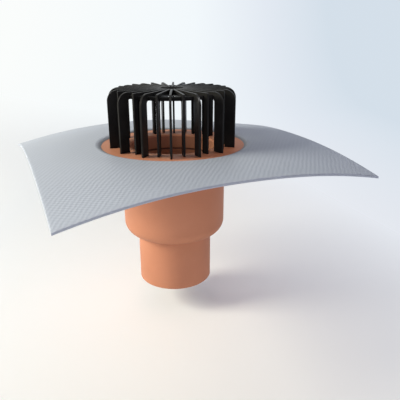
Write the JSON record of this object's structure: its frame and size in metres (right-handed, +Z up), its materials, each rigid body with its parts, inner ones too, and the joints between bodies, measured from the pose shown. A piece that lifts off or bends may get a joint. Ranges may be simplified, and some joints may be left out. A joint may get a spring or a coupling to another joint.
{
  "type": "flat roof drain",
  "caption": "Flat roof drain with a round pot and outlet pipe, a wide flange, a square membrane collar and a bladed leaf guard.",
  "frame": {"origin": "centre of the outlet pipe's lower end face, where the drain stands", "axes": "+Z up along the outlet's axis, +X and +Y along the collar's sides"},
  "size_m": [0.4, 0.4, 0.289],
  "materials": {
    "guard_plastic": "matt black moulded plastic with a soft sheen on its edges",
    "membrane": "grey flexible roofing membrane with a fine diagonal emboss",
    "body_plastic": "satin orange-brown moulded plastic"
  },
  "bodies": {
    "root": {"leaf_guard": "guard_plastic", "membrane_collar": "membrane", "drain_body": "body_plastic"}
  },
  "joints": []
}
